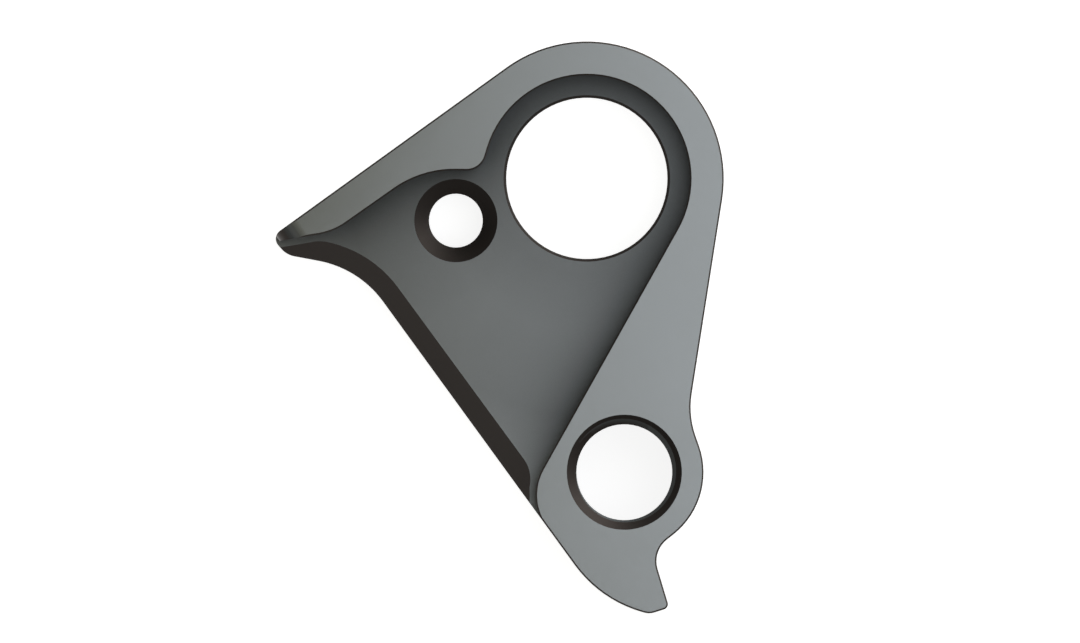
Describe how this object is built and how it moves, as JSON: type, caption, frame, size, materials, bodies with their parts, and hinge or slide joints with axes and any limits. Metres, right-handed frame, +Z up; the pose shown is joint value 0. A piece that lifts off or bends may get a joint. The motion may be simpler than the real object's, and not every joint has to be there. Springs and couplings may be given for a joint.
{
  "type": "bicycle derailleur hanger",
  "caption": "One-piece metal derailleur hanger plate with a recessed seat round the axle hole, a countersunk fixing hole, a threaded derailleur hole and a small stop tab.",
  "frame": {"origin": "on the axis of the axle hole, at the flat back face", "axes": "the part lies on its flat back: +Z up out of the plate towards the raised rim, which is the wheel side; +Y away from the derailleur hole's end; +X towards the side the straight outer edge is on, away from the pointed tip"},
  "size_m": [0.0416, 0.0532, 0.008],
  "materials": {
    "satin_metal": "satin machined, grey"
  },
  "bodies": {
    "root": {"hanger": "satin_metal"}
  },
  "joints": []
}
